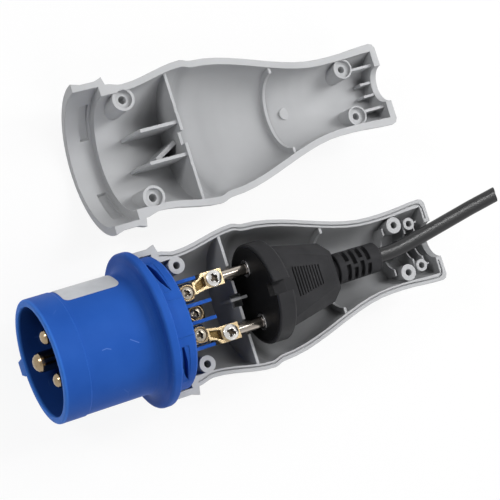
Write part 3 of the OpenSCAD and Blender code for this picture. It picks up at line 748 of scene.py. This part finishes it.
def screwTree(setup):
    sizes = {**setup["kinds"]["clamp"], "Shank Length": 4.0}
    tree, given, out = newTree("crossHeadScrew", sizes, ("Finish", "Recess Finish"))
    add, joined, moved = treeTools(tree)
    link = tree.links.new
    place = splitNode(tree, tree.nodes.new("GeometryNodeInputPosition").outputs[0])
    away = reachNode(tree, place["X"], place["Y"])

    # head: disc with a domed top
    head = add("GeometryNodeMeshCylinder", Vertices=setup["headSides"], Side_Segments=setup["headRings"],
        Fill_Segments=setup["topRings"], Radius=given["Head Radius"], Depth=given["Head Height"])
    half = mathNode(tree, "MULTIPLY", given["Head Height"], 0.5)
    onTop = mathNode(tree, "GREATER_THAN", place["Z"], mathNode(tree, "MULTIPLY", half, setup["topShare"]))
    share = mathNode(tree, "DIVIDE", away, given["Head Radius"])
    fall = mathNode(tree, "MULTIPLY", mathNode(tree, "POWER", share, setup["domePower"]), given["Dome"])
    drop = mathNode(tree, "MULTIPLY", mathNode(tree, "MULTIPLY", fall, onTop), -1.0)
    head = moved(head.outputs["Mesh"], joined(z=mathNode(tree, "ADD", drop, half)))

    # shank: rings of points pushed in along a helix
    shank = add("GeometryNodeMeshCylinder", Vertices=setup["shankSides"], Side_Segments=setup["shankRings"],
        Radius=given["Thread Radius"], Depth=mathNode(tree, "ADD", given["Shank Length"], setup["overlap"]))
    turn = mathNode(tree, "ARCTAN2", place["Y"], place["X"])
    rounds = mathNode(tree, "MULTIPLY", place["Z"], 2 * math.pi)
    climb = mathNode(tree, "DIVIDE", rounds, given["Pitch"])
    swing = mathNode(tree, "COSINE", mathNode(tree, "SUBTRACT", turn, climb))
    wave = mathNode(tree, "MULTIPLY_ADD", swing, 0.5, 0.5)
    dent = mathNode(tree, "MULTIPLY", wave, given["Thread Depth"])
    pull = mathNode(tree, "MULTIPLY", mathNode(tree, "DIVIDE", dent, given["Thread Radius"]), -1.0)
    middle = mathNode(tree, "MULTIPLY", given["Shank Length"], 0.5)
    sink = mathNode(tree, "SUBTRACT", setup["overlap"] / 2, middle)
    shank = moved(shank.outputs["Mesh"], joined(mathNode(tree, "MULTIPLY", place["X"], pull),
        mathNode(tree, "MULTIPLY", place["Y"], pull), sink))

    # cross recess: two bars and a cone let into the head
    tall = mathNode(tree, "MULTIPLY", given["Recess Depth"], 2.0)
    whole = tree.nodes.new("GeometryNodeMeshBoolean")
    whole.operation = "UNION"
    link(head, whole.inputs["Mesh 2"])
    link(shank, whole.inputs["Mesh 2"])
    cut = tree.nodes.new("GeometryNodeMeshBoolean")
    cut.operation = "DIFFERENCE"
    link(whole.outputs["Mesh"], cut.inputs["Mesh 1"])
    for long, wide in (("Recess Length", "Recess Width"), ("Recess Width", "Recess Length")):
        bar = add("GeometryNodeMeshCube", Size=joined(given[long], given[wide], tall)).outputs["Mesh"]
        link(moved(bar, joined(z=given["Head Height"])), cut.inputs["Mesh 2"])

    def below(share):
        return mathNode(tree, "MULTIPLY_ADD", given["Recess Depth"], -share, given["Head Height"])

    cone = add("GeometryNodeMeshCone", Vertices=setup["coneSides"], Radius_Top=given["Recess Mouth"],
        Radius_Bottom=mathNode(tree, "MULTIPLY", given["Recess Mouth"], setup["coneFoot"]),
        Depth=mathNode(tree, "MULTIPLY", given["Recess Depth"], setup["coneHeight"]))
    link(moved(cone.outputs["Mesh"], joined(z=below(setup["coneSink"]))), cut.inputs["Mesh 2"])
    plain = add("GeometryNodeRealizeInstances", Geometry=cut.outputs["Mesh"])
    done = add("GeometryNodeSetMaterial", Geometry=plain.outputs[0], Material=given["Finish"])

    # painted shade: the depth of the recess gets a darker, duller finish
    low = mathNode(tree, "LESS_THAN", place["Z"], below(setup["darkTop"]))
    high = mathNode(tree, "GREATER_THAN", place["Z"], below(setup["darkFloor"]))
    inside = mathNode(tree, "LESS_THAN", away,
        mathNode(tree, "MULTIPLY", given["Recess Length"], setup["darkReach"]))
    sunk = mathNode(tree, "MULTIPLY", mathNode(tree, "MULTIPLY", low, high), inside)
    dark = add("GeometryNodeSetMaterial", Geometry=done.outputs[0], Selection=sunk,
        Material=given["Recess Finish"])
    link(dark.outputs[0], out[0])
    return tree


def grownMesh(name, tree, values):
    holder = bpy.data.objects.new(name, bpy.data.meshes.new(name))
    scene.collection.objects.link(holder)
    modifier = holder.modifiers.new("grow", "NODES")
    modifier.node_group = tree
    for item in tree.interface.items_tree:
        if item.in_out == "INPUT" and item.name in values:
            modifier[item.identifier] = values[item.name]
    grown = holder.evaluated_get(bpy.context.evaluated_depsgraph_get())
    mesh = bpy.data.meshes.new_from_object(grown)
    holder.modifiers.remove(modifier)
    bpy.data.objects.remove(holder)
    return mesh


def makeScrews(setup):
    tree = screwTree(setup)
    for node, kind, turn in setup["placings"]:
        low, high = (Vector(corner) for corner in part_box(node))
        sizes = dict(setup["kinds"][kind])
        sizes["Shank Length"] = (high.z - low.z) / mm - sizes["Head Height"]
        sizes["Finish"] = finishes[setup["finishes"][kind]]
        sizes["Recess Finish"] = finishes["recessShade"]
        mesh = grownMesh(node + ".turned", tree, sizes)
        seat = Vector(((low.x + high.x) / 2, (low.y + high.y) / 2, high.z - sizes["Head Height"] * mm))
        spin = Matrix.Rotation(math.radians(turn), 4, "Z")
        mesh.transform(Matrix.Translation(seat) @ spin @ Matrix.Scale(mm, 4))
        piece = finishMesh(node + ".turned", mesh, sizes["Finish"], setup["sharpAngle"])
        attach(piece, node)
        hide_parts(node)
    print("screws", len(setup["placings"]))


makeScrews(screwSetup)


# helical ramps that narrow the bayonet slots: one side closes towards each end
rampSetup = {
    "sizes": {"Slot Start": 4.2, "Slot Width": 2.6, "Slot Length": 14.5, "Floor Height": 20.15,
        "Top Radius": 22.98, "Slot Angle": 42.0, "Bury": 0.03},
    "rows": 21,
    "rearSide": [(0.0, 0.35), (0.35, 0.66), (0.7, 0.8), (1.0, 1.0)],
    "flangeSide": [(0.0, 0.0), (0.5, 0.0), (0.7, 0.2), (0.85, 0.55), (1.0, 1.0)],
}


def bendCurve(curve, points):
    bends = curve.mapping.curves[0].points
    for x, y in points[1:-1]:
        bends.new(x, y)
    bends[0].location = points[0]
    bends[-1].location = points[-1]
    for bend in bends:
        bend.handle_type = "VECTOR"
    curve.mapping.update()
    return curve.outputs[0]


def rampTree(setup):
    tree, given, out = newTree("slotRamp", setup["sizes"], ("Finish",))
    add, joined = treeTools(tree)[:2]
    place = splitNode(tree, tree.nodes.new("GeometryNodeInputPosition").outputs[0])
    run = mathNode(tree, "SUBTRACT", 0.5, place["Y"])
    across = mathNode(tree, "ADD", place["X"], 0.5)
    rise = mathNode(tree, "ADD", place["Z"], 0.5)
    both = tree.nodes.new("GeometryNodeJoinGeometry")
    for side in ("rearSide", "flangeSide"):
        edge = bendCurve(add("ShaderNodeFloatCurve", Value=run), setup[side])
        if side == "rearSide":
            low, high = edge, mathNode(tree, "ADD", 1.0, given["Bury"])
        else:
            low, high = mathNode(tree, "MULTIPLY", given["Bury"], -1.0), edge
        share = mathNode(tree, "MULTIPLY_ADD", mathNode(tree, "SUBTRACT", high, low), across, low)
        x = mathNode(tree, "MULTIPLY_ADD", share, given["Slot Width"], given["Slot Start"])
        length = mathNode(tree, "ADD", given["Slot Length"], given["Bury"])
        y = mathNode(tree, "MULTIPLY", place["Y"], length)
        top = mathNode(tree, "SQRT", mathNode(tree, "SUBTRACT",
            mathNode(tree, "MULTIPLY", given["Top Radius"], given["Top Radius"]),
            mathNode(tree, "MULTIPLY", y, y)))
        depth = mathNode(tree, "SUBTRACT", top, given["Floor Height"])
        z = mathNode(tree, "MULTIPLY_ADD", depth, rise, given["Floor Height"])
        block = add("GeometryNodeMeshCube", Size=(1.0, 1.0, 1.0), Vertices_X=2, Vertices_Y=setup["rows"],
            Vertices_Z=2)
        shaped = add("GeometryNodeSetPosition", Geometry=block.outputs["Mesh"], Position=joined(x, y, z))
        tree.links.new(shaped.outputs[0], both.inputs[0])

    # four slots: two leaning either way from the top, two from the bottom
    spots = add("GeometryNodeMeshLine", Count=4, Offset=(0.0, 0.0, 0.0)).outputs["Mesh"]
    index = tree.nodes.new("GeometryNodeInputIndex").outputs[0]
    odd = mathNode(tree, "MODULO", index, 2.0)
    half = mathNode(tree, "MULTIPLY", mathNode(tree, "GREATER_THAN", index, 1.5), math.pi)
    turn = mathNode(tree, "MULTIPLY", mathNode(tree, "RADIANS", given["Slot Angle"]),
        mathNode(tree, "MULTIPLY_ADD", odd, 2.0, -1.0))
    ring = add("GeometryNodeInstanceOnPoints", Points=spots, Instance=both.outputs[0],
        Rotation=joined(mathNode(tree, "ADD", turn, half)))
    plain = add("GeometryNodeRealizeInstances", Geometry=ring.outputs[0])
    done = add("GeometryNodeSetMaterial", Geometry=plain.outputs[0], Material=given["Finish"])
    tree.links.new(done.outputs[0], out[0])
    return tree


def makeRamps(setup):
    values = {**setup["sizes"], "Finish": finishes["blueFront"]}
    mesh = grownMesh("slotRamps", rampTree(setup), values)
    mesh.transform(Matrix.Scale(mm, 4))
    bm = bmesh.new()
    bm.from_mesh(mesh)
    piece = newPiece("slotRamps", bm, finishes["blueFront"])
    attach(piece, "housing")
    print("ramps", len(piece.data.polygons), "faces")


makeRamps(rampSetup)


# bare plate on the shroud, sizes in millimetres and degrees
plateSetup = {
    "xStart": -25.9,
    "xEnd": -6.3,
    "angleLow": 50.5,
    "angleHigh": 88.0,
    "radius": 20.8,
    "lift": 0.01,
    "thickness": 0.12,
    "corner": 2.2,
    "rows": 28,
    "cols": 24,
    "colour": (0.56, 0.575, 0.60),
    "dullShare": 0.86,
    "rough": (0.38, 0.5),
    "metallic": 0.25,
    "lines": 500.0,
    "stainScale": 90.0,
    "lineDepth": 0.000004,
    "lineStrength": 0.2,
}


def makePlateMaterial(setup):
    material, tree, shader, coords = newMaterial("bareFoil")
    lines = placeGroup(tree, turnedLines, coords, Line_Scale=setup["lines"],
        Stain_Scale=setup["stainScale"])
    dull = tuple(channel * setup["dullShare"] for channel in setup["colour"])
    tree.links.new(mixColour(tree, lines["Stain"], setup["colour"], dull), shader.inputs["Base Color"])
    rough = rangeNode(tree, lines["Stain"], 0.0, 1.0, *setup["rough"])
    tree.links.new(rough, shader.inputs["Roughness"])
    shader.inputs["Metallic"].default_value = setup["metallic"]
    addBump(tree, shader, lines["Lines"], setup["lineDepth"], setup["lineStrength"])
    return material


def cornerInset(edge, corner):
    if edge >= corner:
        return 0.0
    return corner - math.sqrt(max(corner ** 2 - (corner - edge) ** 2, 0))


def plateGrid(bm, setup, lift):
    low, high = math.radians(setup["angleLow"]), math.radians(setup["angleHigh"])
    tall = (high - low) * setup["radius"]
    r = setup["radius"] + setup["lift"] + lift
    grid = []
    for i in range(setup["rows"] + 1):
        away = tall * 0.5 * (1 - math.cos(math.pi * i / setup["rows"]))  # closer rows at the corners
        inset = cornerInset(min(away, tall - away), setup["corner"])
        angle = low + away / setup["radius"]
        x0, x1 = setup["xStart"] + inset, setup["xEnd"] - inset
        row = []
        for j in range(setup["cols"] + 1):
            x = x0 + (x1 - x0) * j / setup["cols"]
            row.append(bm.verts.new(Vector((x, r * math.sin(angle), r * math.cos(angle))) * mm))
        grid.append(row)
    return grid


def gridRim(grid):
    rows, cols = len(grid) - 1, len(grid[0]) - 1
    return ([grid[0][j] for j in range(cols)] + [grid[i][cols] for i in range(rows)]
        + [grid[rows][j] for j in range(cols, 0, -1)] + [grid[i][0] for i in range(rows, 0, -1)])


def makePlate(setup):
    bm = bmesh.new()
    lower = plateGrid(bm, setup, 0.0)
    upper = plateGrid(bm, setup, setup["thickness"])
    for grid, step in ((lower, -1), (upper, 1)):
        for i in range(setup["rows"]):
            for j in range(setup["cols"]):
                loop = [grid[i][j], grid[i][j + 1], grid[i + 1][j + 1], grid[i + 1][j]]
                bm.faces.new(loop[::step])
    joinRings(bm, [gridRim(lower), gridRim(upper)])
    piece = newPiece("barePlate", bm, makePlateMaterial(setup))
    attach(piece, "housing")
    print("plate", len(piece.data.polygons), "faces")


makePlate(plateSetup)


# pale floor, tilted by as much as the object leans on its flange
floorSetup = {
    "low": -26.8,
    "gap": 0.03,
    "slope": 1.2 / 38.8,
    "slopeFrom": 3.7,
    "half": 1.6,
    "colour": (0.82, 0.82, 0.82),
    "speckShare": 0.985,
    "speckScale": 40.0,
    "speckNoise": {"detail": 2.0, "rough": 0.5},
    "speckSpan": (0.3, 0.7),
    "rough": 0.9,
    "specular": 0.1,
    "whiteShare": 0.9,
}


def seenMask(tree):
    path = tree.nodes.new("ShaderNodeLightPath").outputs
    mirrored = mathNode(tree, "MAXIMUM", path["Is Glossy Ray"], path["Is Transmission Ray"])
    return path["Is Camera Ray"], mathNode(tree, "MAXIMUM", path["Is Camera Ray"], mirrored)


def makeFloorMaterial(setup):
    material, tree, shader, coords = newMaterial("paleFloor")
    shader.inputs["Roughness"].default_value = setup["rough"]
    shader.inputs["Specular IOR Level"].default_value = setup["specular"]
    speck = noiseNode(tree, coords, setup["speckScale"], **setup["speckNoise"])
    darker = tuple(channel * setup["speckShare"] for channel in setup["colour"])
    tone = mixColour(tree, rangeNode(tree, speck, *setup["speckSpan"]), setup["colour"], darker)
    tree.links.new(tone, shader.inputs["Base Color"])
    white = tree.nodes.new("ShaderNodeEmission")
    white.inputs["Strength"].default_value = 1.0
    seen = seenMask(tree)[1]
    mix = tree.nodes.new("ShaderNodeMixShader")
    tree.links.new(mathNode(tree, "MULTIPLY", seen, setup["whiteShare"]), mix.inputs[0])
    tree.links.new(shader.outputs[0], mix.inputs[1])
    tree.links.new(white.outputs[0], mix.inputs[2])
    tree.links.new(mix.outputs[0], tree.nodes["Material Output"].inputs["Surface"])
    return material


def makeFloor(setup):
    bm = bmesh.new()
    half = setup["half"]
    corners = []
    for x, y in ((-half, -half), (half, -half), (half, half), (-half, half)):
        z = (setup["low"] - setup["gap"]) * mm + (x - setup["slopeFrom"] * mm) * setup["slope"]
        corners.append(bm.verts.new((x, y, z)))
    bm.faces.new(corners)
    floor = newPiece("paleFloor", bm, makeFloorMaterial(setup))
    if floor.data.polygons[0].normal.z < 0:
        floor.data.flip_normals()


# world and lamps: white to the camera, with a greyer ceiling in mirrors
studioSetup = {
    "worldLight": 0.04,
    "ceiling": 0.6,
    "ceilingSpan": (0.35, 0.85),
    "aim": (0.045, 0.03, 0.0),
    "lamps": {
        "keyLamp": {"place": (0.72, 0.20, 0.72), "size": (0.5, 0.5), "power": 7.2, "mirrored": False},
        "fillLamp": {"place": (0.15, -0.60, 0.75), "size": (0.8, 0.8), "power": 4.5, "mirrored": False},
        "backLamp": {"place": (0.25, 0.75, 0.60), "size": (0.5, 0.5), "power": 1.2, "mirrored": False},
        "frontLamp": {"place": (-0.55, 0.35, 0.55), "size": (0.23, 0.23), "power": 2.2, "mirrored": True},
        "stripLamp": {"place": (0.44, 0.165, 0.84), "size": (0.42, 0.08), "power": 1.6, "mirrored": True},
    },
}


def makeWorld(setup):
    world = bpy.data.worlds.new("studioWorld")
    scene.world = world
    world.use_nodes = True
    tree = world.node_tree
    lit = tree.nodes["Background"]
    lit.inputs["Color"].default_value = (1.0, 1.0, 1.0, 1.0)
    camera, seen = seenMask(tree)
    up = splitNode(tree, tree.nodes.new("ShaderNodeTexCoord").outputs["Generated"])["Z"]
    room = rangeNode(tree, up, *setup["ceilingSpan"], 1.0, setup["ceiling"])
    shown = mathNode(tree, "MAXIMUM", room, camera)
    tree.links.new(rangeNode(tree, seen, 0.0, 1.0, setup["worldLight"], shown), lit.inputs["Strength"])


def makeLamps(setup):
    for name, lamp in setup["lamps"].items():
        data = bpy.data.lights.new(name, "AREA")
        data.shape = "RECTANGLE"
        data.size, data.size_y = lamp["size"]
        data.energy = lamp["power"]
        holder = bpy.data.objects.new(name, data)
        holder.visible_glossy = lamp["mirrored"]
        back = (Vector(lamp["place"]) - Vector(setup["aim"])).normalized()
        across = (Vector((1, 0, 0)) - back * back.x).normalized()
        turn = Matrix((across, back.cross(across), back)).transposed().to_4x4()
        holder.matrix_world = Matrix.Translation(lamp["place"]) @ turn
        scene.collection.objects.link(holder)


makeFloor(floorSetup)
makeWorld(studioSetup)
makeLamps(studioSetup)
print("studio lit by", len(studioSetup["lamps"]), "lamps")

scene.view_settings.view_transform = "Standard"
